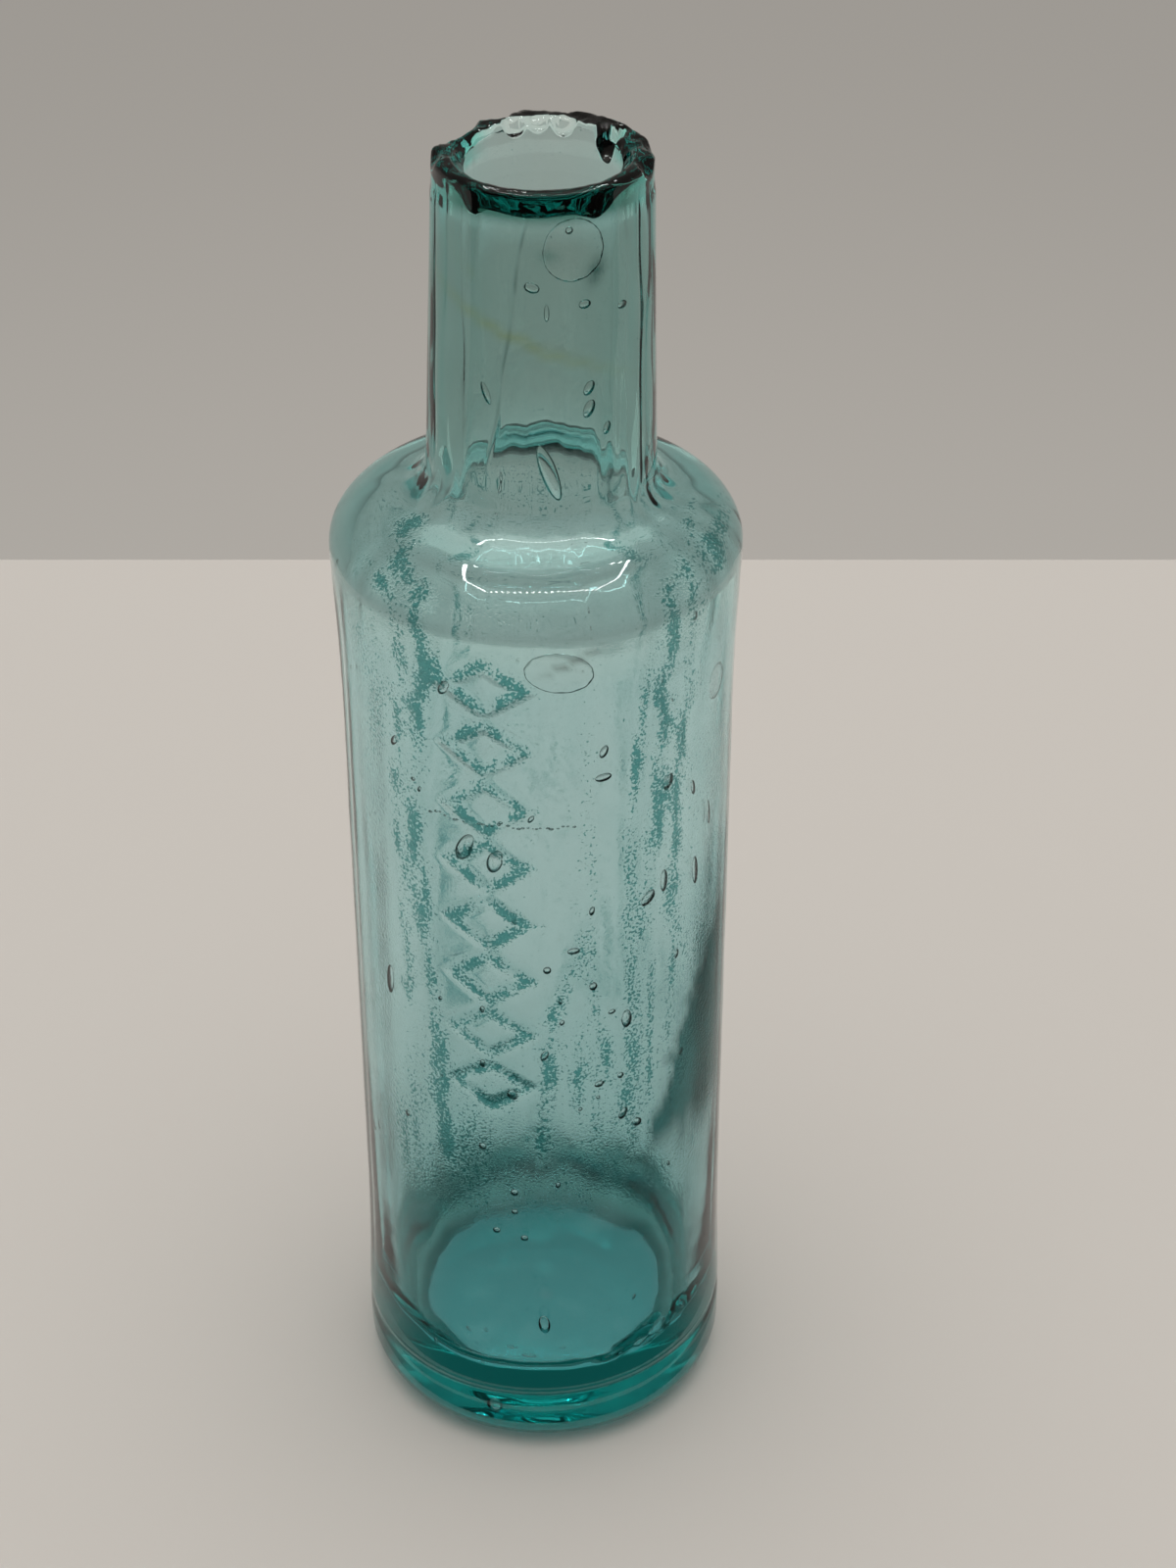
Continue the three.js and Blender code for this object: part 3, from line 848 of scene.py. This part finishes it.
    def inner_unevenness(self, angle, height, radius):
        """Blown inside of the wall, thicker and thinner in long soft waves, with folds under the shoulder."""
        body = 1 - smooth_step(height, BODY_HIGH.z - 4 * MM, BODY_HIGH.z + 4 * MM)
        wall = smooth_step(radius, 12 * MM, 16 * MM)
        calm = 0.25 + 0.75 * smooth_step(height, 18 * MM, 40 * MM)
        wave = calm * waves(angle, height, WALL_WAVES)
        folds = waves(angle, height, FOLD_WAVES) * smooth_step(height, BODY_HIGH.z - 22 * MM, BODY_HIGH.z)
        corner = hill(angle_between(angle, math.radians(42)), math.radians(20))
        corner *= hill(height - BASE_HIGH.z - 1.5 * MM, 2 * MM)
        wave += corner * waves(angle, height, CORNER_WAVES)
        wave += hill(height - BASE_HIGH.z - 2 * MM, 3 * MM) * waves(angle, height, HEEL_WAVES)
        root = hill(height - NECK_LOW.z + 3 * MM, 4 * MM)
        bore = waves(angle, height, BORE_WAVES) + root * waves(angle, height, ROOT_WAVES)
        roof = smooth_step(radius, 8 * MM, 10 * MM)
        return MM * (body * wall * wave + (1 - body) * bore + folds * roof)

    def outer_unevenness(self, angle, height, radius, shape):
        """Whittled outside of the wall, with veins up the body, seams and a grain up the neck."""
        neck = window(height, NECK_LOW.z, NECK_LOW.z + 4 * MM, LIP_LOW.z, LIP_HIGH.z)
        body = window(height, BASE_HIGH.z, BASE_HIGH.z + 10 * MM, BODY_HIGH.z - 5 * MM, BODY_HIGH.z)
        skin = waves(angle, height, SKIN_WAVES)
        skin += VEIN_HEIGHT * vein_share(angle, radius, height) - MOULD_SEAM_DEPTH * mould_seam(angle)
        seam = HEEL_SEAM_DEPTH * hill(height - shape.heel_seam + 0.5 * MM * math.cos(angle + 1), 0.7 * MM)
        grain = NECK_GRAIN * (waves(angle, height, NECK_WAVES) - 0.5)
        return MM * (body * skin - seam + neck * grain)

    def add_bubbles(self, mesh, glass, outline):
        """Leaves bubbles in the wall: closed hollows whose faces look into the air inside them."""
        heights = [(point.z, point.x) for point in outline if point.x > 9 * MM]
        hollows = bmesh.new()
        for angle, height, depth, long, wide, thick, lean in BUBBLES:
            self.bubble(hollows, heights, math.radians(angle), Vector((height, depth)) * MM,
                        Vector((wide, 0.55 * thick, long)) * MM, math.radians(lean), 3 if long > 0.55 else 2)
        chance = random.Random(11)
        for _ in range(glass.seeds):
            angle = chance.uniform(-math.pi, math.pi)
            height = BASE_HIGH.z + (BODY_HIGH.z - BASE_HIGH.z) * chance.random() ** 1.3
            size = chance.uniform(*SEED_SIZES)
            sizes = Vector((size, size * 0.6, size * chance.uniform(1.0, 2.2))) * MM
            lean = chance.uniform(-0.5, 0.5)
            self.bubble(hollows, heights, angle, Vector((height, SEED_DEPTH)), sizes, lean, 2)
        first, last, level, count = PIT_ROW
        for pit in range(count):
            angle = math.radians(first + (last - first) * (pit + chance.uniform(-0.4, 0.4)) / count)
            height = level * MM + 0.7 * MM * noise.noise((pit * 0.3, 5, 0))
            size = chance.uniform(*PIT_SIZES)
            sizes = Vector((size * 1.6, size, size)) * MM
            self.bubble(hollows, heights, angle, Vector((height, PIT_DEPTH)), sizes, 0, 1)
        bmesh.ops.reverse_faces(hollows, faces=hollows.faces[:])
        data = bpy.data.meshes.new("bubbles")
        hollows.to_mesh(data)
        hollows.free()
        mesh.from_mesh(data)
        bpy.data.meshes.remove(data)

    def bubble(self, mesh, heights, angle, place, size, lean, fineness):
        """One hollow at an angle, a height and a depth."""
        height, depth = place
        radius = min(heights, key=lambda point: abs(point[0] - height))[1] - depth
        centre = Vector((radius * math.sin(angle) + crook(height), -radius * math.cos(angle), height))
        matrix = Matrix.Translation(centre) @ Matrix.Rotation(angle, 4, "Z") @ Matrix.Rotation(lean, 4, "Y")
        matrix = matrix @ Matrix.Diagonal((*size, 1))
        bmesh.ops.create_icosphere(mesh, subdivisions=fineness, radius=1, matrix=matrix)


def new_material(name):
    """An empty node material with its output node."""
    material = bpy.data.materials.new(name)
    material.use_nodes = True
    material.node_tree.nodes.clear()
    output = material.node_tree.nodes.new("ShaderNodeOutputMaterial")
    return material, material.node_tree, output


def add_node(tree, kind, inputs, **settings):
    """Adds a node with its settings. Each input is a value or another node's output."""
    node = tree.nodes.new(kind)
    for name, value in settings.items():
        setattr(node, name, value)
    for key, value in inputs.items():
        if isinstance(value, bpy.types.NodeSocket):
            tree.links.new(value, node.inputs[key])
        else:
            node.inputs[key].default_value = value
    return node


def aqua_glass(glass):
    """Clear glass that takes its colour from the depth that light goes through, pebbled in bands with painted
    dark specks of shade.
    """
    material, tree, output = new_material("aqua_glass")
    coordinates = add_node(tree, "ShaderNodeTexCoord", {})
    grain = add_node(tree, "ShaderNodeTexNoise", {
        "Vector": coordinates.outputs["Object"], "Scale": GRAIN_SCALE, "Detail": GRAIN_DETAIL})
    # The stain attribute: real stains, the glass's own tints, painted shade and the tint of painted light
    tint = add_node(tree, "ShaderNodeAttribute", {}, attribute_name="stain")
    pebble_and_shade = add_node(tree, "ShaderNodeAttribute", {}, attribute_name="pebble_and_shade")
    bump = add_node(tree, "ShaderNodeBump", {
        "Strength": pebble_and_shade.outputs["Fac"], "Distance": GRAIN_BUMP, "Height": grain.outputs["Fac"]})
    # Painted shade: dark specks where the pebbled bands are thick
    density = add_node(tree, "ShaderNodeMath", {
        0: pebble_and_shade.outputs["Fac"], 1: SPECKLE_GAIN, 2: grain.outputs["Fac"]}, operation="MULTIPLY_ADD")
    speckle_shade = add_node(tree, "ShaderNodeMapRange", {
        "Value": density.outputs["Value"], "From Min": SPECKLE_EDGE[0], "From Max": SPECKLE_EDGE[1],
    }, interpolation_type="SMOOTHSTEP")
    mix = add_node(tree, "ShaderNodeMix", {
        "Factor": speckle_shade.outputs["Result"]}, data_type="RGBA", blend_type="MULTIPLY")
    colours = [socket for socket in mix.inputs if socket.type == "RGBA"]
    colours[1].default_value = (*SPECKLE_SHADE_TINT, 1)
    tree.links.new(tint.outputs["Color"], colours[0])
    mixed = next(socket for socket in mix.outputs if socket.type == "RGBA")
    shader = add_node(tree, "ShaderNodeBsdfPrincipled", {
        "Base Color": mixed, "Roughness": 0.0, "IOR": GLASS_IOR, "Transmission Weight": 1.0,
        "Normal": bump.outputs["Normal"]})
    volume = add_node(tree, "ShaderNodeVolumeAbsorption", {
        "Color": (*glass.absorption, 1), "Density": glass.density})
    tree.links.new(shader.outputs["BSDF"], output.inputs["Surface"])
    tree.links.new(volume.outputs["Volume"], output.inputs["Volume"])
    return material


def plain_material(name, tint):
    """A matt surface for the stage."""
    material, tree, output = new_material(name)
    shader = add_node(tree, "ShaderNodeBsdfPrincipled", {"Base Color": (*tint, 1), "Roughness": 0.9})
    tree.links.new(shader.outputs["BSDF"], output.inputs["Surface"])
    return material


def glowing_material(name, strength):
    """A surface that only gives off white light."""
    material, tree, output = new_material(name)
    glow = add_node(tree, "ShaderNodeEmission", {"Strength": strength})
    tree.links.new(glow.outputs["Emission"], output.inputs["Surface"])
    return material


def stage_object(name, mesh, material):
    """Makes a bmesh into a stage object."""
    data = bpy.data.meshes.new(name)
    mesh.to_mesh(data)
    mesh.free()
    made = bpy.data.objects.new(name, data)
    bpy.context.scene.collection.objects.link(made)
    made.data.materials.append(material)
    return made


def stage_plane(name, corners, material):
    """A flat sheet of the stage."""
    mesh = bmesh.new()
    mesh.faces.new([mesh.verts.new(corner) for corner in corners])
    return stage_object(name, mesh, material)


class BOTTLE_OT_stage(bpy.types.Operator):
    """Pale table, grey surround, soft light and the camera"""

    bl_idname = "bottle.stage"
    bl_label = "Stage"

    def execute(self, context):
        scene = context.scene
        stage = scene.bottle_stage
        scene.view_settings.view_transform = "Standard"
        self.table(stage)
        self.surround(scene, stage)
        self.lamps()
        self.camera(scene, stage)
        return {"FINISHED"}

    def table(self, stage):
        """Pale table top just under the foot, and a dark card and mats that only reflections see; the mats
        are painted shade.
        """
        half = stage.table_half
        back = stage.table_back
        level = -stage.table_drop
        corners = [(-half, -half, level), (half, -half, level), (half, back, level), (-half, back, level)]
        stage_plane("table", corners, plain_material("table", stage.floor_colour))
        self.pad(stage)
        front = -stage.card_distance
        corners = [(-half, front, 0), (half, front, 0), (half, front, half), (-half, front, half)]
        card = stage_plane("dark_card", corners, plain_material("dark_card", stage.card_colour))
        near = self.mat("near_shade_mat", stage, (stage.mat_edge, stage.gap_start))
        far = self.mat("far_shade_mat", stage, (stage.gap_end, stage.mat_reach))
        for sheet in (card, near, far):
            sheet.visible_camera = False
            sheet.visible_diffuse = False
            sheet.visible_transmission = False
            sheet.visible_shadow = False

    def mat(self, name, stage, radii):
        """Painted shade in reflections: a dark mat round the foot that fades out towards both sides, which
        only reflections see.
        """
        mesh = bmesh.new()
        start = -stage.mat_left
        side, front = math.sin(start), -math.cos(start)
        mesh.edges.new([mesh.verts.new((radius * side, radius * front, 0)) for radius in radii])
        bmesh.ops.spin(mesh, geom=mesh.verts[:] + mesh.edges[:], cent=(0, 0, 0), axis=(0, 0, 1),
                       angle=stage.mat_left + stage.mat_far, steps=80)
        shade = mesh.verts.layers.float.new("shade")
        for vert in mesh.verts:
            angle = front_angle(vert.co)
            outside = vert.co.length > (stage.mat_edge + stage.mat_reach) / 2
            end = stage.mat_left
            if angle > 0:
                end = stage.mat_far if outside else stage.mat_right
            vert[shade] = 1 - smooth_step(abs(angle), end - stage.mat_fade, end)
        material, tree, output = new_material(name)
        attribute = add_node(tree, "ShaderNodeAttribute", {}, attribute_name="shade")
        clear = add_node(tree, "ShaderNodeBsdfTransparent", {})
        dark = add_node(tree, "ShaderNodeBsdfDiffuse", {"Color": (*stage.card_colour, 1)})
        mixed = add_node(tree, "ShaderNodeMixShader", {
            0: attribute.outputs["Fac"], 1: clear.outputs["BSDF"], 2: dark.outputs["BSDF"]})
        tree.links.new(mixed.outputs["Shader"], output.inputs["Surface"])
        return stage_object(name, mesh, material)

    def pad(self, stage):
        """Glowing pad just under the foot, painted light as bright as the table there, which shows only
        through the base.
        """
        mesh = bmesh.new()
        bmesh.ops.create_circle(mesh, cap_ends=True, segments=64, radius=BASE_HIGH.x - 4 * MM,
                                matrix=Matrix.Translation((0, 0, -stage.pad_drop)))
        pad = stage_object("pad", mesh, glowing_material("pad", stage.painted_light_glow))
        pad.visible_diffuse = False

    def surround(self, scene, stage):
        """Grey surround, a little lighter towards the table, with a bright ceiling."""
        world = bpy.data.worlds.new("surround")
        world.use_nodes = True
        scene.world = world
        tree = world.node_tree
        background = tree.nodes["Background"]
        background.inputs["Color"].default_value = (*stage.surround_colour, 1)
        coordinates = add_node(tree, "ShaderNodeTexCoord", {})
        split = add_node(tree, "ShaderNodeSeparateXYZ", {"Vector": coordinates.outputs["Generated"]})
        light_path = add_node(tree, "ShaderNodeLightPath", {})

        def ramp(low, high, at_low, at_high):
            node = add_node(tree, "ShaderNodeMapRange", {
                "Value": split.outputs["Z"], "From Min": low, "From Max": high,
                "To Min": at_low, "To Max": at_high}, interpolation_type="SMOOTHSTEP")
            return node.outputs["Result"]

        def combine(operation, *values):
            node = add_node(tree, "ShaderNodeMath", dict(enumerate(values)), operation=operation)
            return node.outputs["Value"]

        sides = ramp(*LOWER_EDGE, stage.surround + LOWER_GLOW, stage.surround)
        sharp = combine("SUBTRACT", 1.0, light_path.outputs["Is Diffuse Ray"])
        upper = combine("MULTIPLY", ramp(*UPPER_EDGE, 0.0, stage.upper_room - stage.surround), sharp)
        mirrored = combine("MULTIPLY", light_path.outputs["Is Reflection Ray"], sharp)
        faded = combine("MULTIPLY_ADD", mirrored, -MIRROR_LOSS, 1.0)
        overhead = combine("MULTIPLY", ramp(*CEILING_EDGE, 0.0, stage.ceiling), faded)
        total = combine("ADD", combine("ADD", sides, upper), overhead)
        tree.links.new(total, background.inputs["Strength"])

    def lamps(self):
        """A square of small bright lights overhead that glints on the shoulder."""
        mesh = bmesh.new()
        corners = [Vector(corner) for corner in LIGHT_LINE]
        for start, end in zip(corners, corners[1:]):
            count = round((end - start).length / LIGHT_SPACING)
            for bead in range(count):
                spot = start.lerp(end, bead / count)
                matrix = Matrix.Translation((*spot, LIGHT_HEIGHT)) @ Matrix.Diagonal((*LIGHT_SIZE, 1))
                bmesh.ops.create_icosphere(mesh, subdivisions=1, radius=1, matrix=matrix)
        beads = stage_object("light_beads", mesh, glowing_material("light_beads", LIGHT_GLOW))
        beads.visible_diffuse = False
        beads.visible_shadow = False

    def camera(self, scene, stage):
        """Looks down at the bottle's front."""
        camera = bpy.data.cameras.new("camera")
        camera.lens = stage.lens
        camera.clip_start = 0.01
        eye = bpy.data.objects.new("camera", camera)
        eye.location = (stage.camera_side, -stage.camera_distance, stage.camera_height)
        eye.rotation_euler = (math.pi / 2 - stage.camera_pitch, 0, 0)
        scene.collection.objects.link(eye)
        scene.camera = eye
        scene.cycles.transmission_bounces = 24
        scene.cycles.max_bounces = 32


class BOTTLE_PT_panel(bpy.types.Panel):
    """Sidebar panel with the bottle's operators"""

    bl_idname = "BOTTLE_PT_panel"
    bl_label = "Bottle"
    bl_space_type = "VIEW_3D"
    bl_region_type = "UI"
    bl_category = "Bottle"

    def draw(self, context):
        layout = self.layout
        layout.operator("bottle.stage")
        layout.operator("bottle.vessel")


SETTINGS = {
    "bottle_shape": BottleShape,
    "bottle_relief": BottleRelief,
    "bottle_glass": BottleGlass,
    "bottle_stage": BottleStage,
}
CLASSES = (*SETTINGS.values(), BOTTLE_OT_stage, BOTTLE_OT_vessel, BOTTLE_PT_panel)


def register():
    """Adds the classes and the settings that they read."""
    for item in CLASSES:
        bpy.utils.register_class(item)
    for name, group in SETTINGS.items():
        setattr(bpy.types.Scene, name, bpy.props.PointerProperty(type=group))


def unregister():
    """Takes away what register added."""
    for name in SETTINGS:
        delattr(bpy.types.Scene, name)
    for item in reversed(CLASSES):
        bpy.utils.unregister_class(item)


def main():
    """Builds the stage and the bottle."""
    register()
    bpy.ops.bottle.stage()
    bpy.ops.bottle.vessel()


if __name__ == "__main__":
    main()
